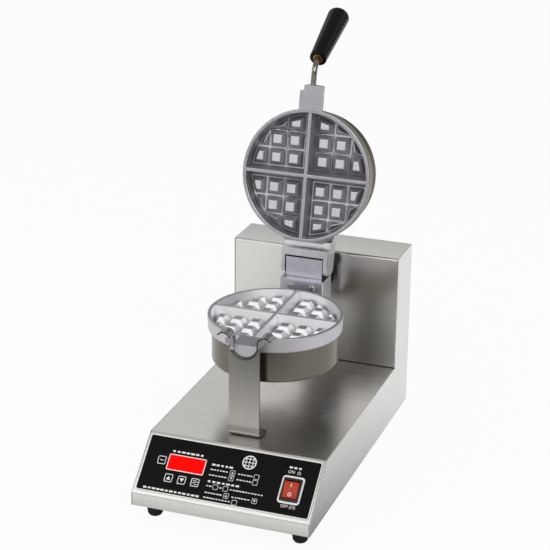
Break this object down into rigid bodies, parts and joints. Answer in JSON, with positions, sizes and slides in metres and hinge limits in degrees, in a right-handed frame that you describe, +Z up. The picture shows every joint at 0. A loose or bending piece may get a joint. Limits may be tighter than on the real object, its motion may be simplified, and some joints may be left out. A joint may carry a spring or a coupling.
{
  "type": "waffle baker",
  "caption": "Round counter-top waffle baker: two hinged cast grids on a turning shaft, held by a stand with a sloped control panel; lid stands open.",
  "frame": {"origin": "on the table under the middle of the object's box", "axes": "+Z up, +Y from the sloped control panel back to the tower, +X to the right of someone facing the panel"},
  "size_m": [0.254, 0.481, 0.6172],
  "materials": {
    "stainless_sheet": "brushed stainless sheet",
    "spun_stainless": "spun stainless, brushed round",
    "spring_steel": "bright spring steel",
    "cast_aluminium": "as cast with machined rims",
    "machined_aluminium": "milled",
    "steel_fastener": "plated steel",
    "bearing_iron": "blackened sintered iron",
    "chromed_rod": "polished chrome",
    "brass_ferrule": "turned brass",
    "phenolic_grip": "glossy moulded phenolic",
    "rubber_foot": "matt moulded rubber",
    "membrane_film": "printed satin film",
    "red_window": "clear red window",
    "switch_body": "moulded black",
    "rocker_red": "moulded orange red",
    "gland_nylon": "moulded nylon",
    "circuit_board": "green laminate",
    "component_case": "moulded",
    "transformer_core": "varnished laminations",
    "heating_element": "sheathed element",
    "mineral_wool": "pressed mineral wool"
  },
  "bodies": {
    "stand": {"base_wrap": "stainless_sheet", "side_panel_left": "stainless_sheet", "side_panel_right": "stainless_sheet", "tower_front_panel": "stainless_sheet", "rear_cover": "stainless_sheet", "bottom_plate": "stainless_sheet", "front_bracket": "stainless_sheet", "tower_brace": "stainless_sheet", "cradle_clip": "spring_steel", "foot_screws": "steel_fastener", "cover_screws": "steel_fastener", "bracket_screws": "steel_fastener", "bearing_screws": "steel_fastener", "board_spacers": "steel_fastener", "pivot_bearing": "bearing_iron", "feet": "rubber_foot", "control_overlay": "membrane_film", "display_window": "red_window", "switch_bezel": "switch_body", "cord_gland": "gland_nylon", "control_board": "circuit_board", "display_module": "component_case", "power_relay": "component_case", "terminal_block": "component_case", "transformer": "transformer_core"},
    "lower_plate": {"lower_grid": "cast_aluminium", "lower_shell": "spun_stainless", "lower_element": "heating_element", "lower_element_clamp": "heating_element", "lower_insulation": "mineral_wool", "lower_sensor": "heating_element", "lower_shell_bolt": "steel_fastener", "hinge_block": "machined_aluminium", "hinge_block_screws": "steel_fastener", "hinge_pin": "steel_fastener", "pivot_shaft": "steel_fastener", "shaft_collar": "steel_fastener"},
    "lid": {"upper_grid": "cast_aluminium", "upper_shell": "spun_stainless", "upper_element": "heating_element", "upper_element_clamp": "heating_element", "upper_insulation": "mineral_wool", "upper_sensor": "heating_element", "upper_shell_bolt": "steel_fastener", "hinge_yoke": "machined_aluminium", "yoke_bolts": "steel_fastener", "handle_rod": "chromed_rod", "handle_ferrule": "brass_ferrule", "handle_grip": "phenolic_grip"},
    "rocker": {"power_rocker": "rocker_red"},
    "clear_key": {"key_clear": "membrane_film"},
    "up_key": {"key_up": "membrane_film"},
    "down_key": {"key_down": "membrane_film"},
    "set_key": {"key_set": "membrane_film"}
  },
  "joints": [
    {"name": "grid_flip", "type": "hinge", "parent": "stand", "child": "lower_plate", "pos_m": [0, 0, 0.24], "axis": [0, 1, 0], "range_deg": [0, 90]},
    {"name": "lid_hinge", "type": "hinge", "parent": "lower_plate", "child": "lid", "pos_m": [0, 0.10096, 0.273], "axis": [1, 0, 0], "range_deg": [0, 101]},
    {"name": "power_rocker", "type": "hinge", "parent": "stand", "child": "rocker", "pos_m": [0.09, -0.20829, 0.06966], "axis": [-1, 0, 0], "range_deg": [0, 16]},
    {"name": "clear_key_press", "type": "slide", "parent": "stand", "child": "clear_key", "axis": [0, 0.6732, -0.7394], "range_m": [0, 0.0005], "stiffness_N_per_m": 1500},
    {"name": "up_key_press", "type": "slide", "parent": "stand", "child": "up_key", "axis": [0, 0.6732, -0.7394], "range_m": [0, 0.0005], "stiffness_N_per_m": 1500},
    {"name": "down_key_press", "type": "slide", "parent": "stand", "child": "down_key", "axis": [0, 0.6732, -0.7394], "range_m": [0, 0.0005], "stiffness_N_per_m": 1500},
    {"name": "set_key_press", "type": "slide", "parent": "stand", "child": "set_key", "axis": [0, 0.6732, -0.7394], "range_m": [0, 0.0005], "stiffness_N_per_m": 1500}
  ]
}
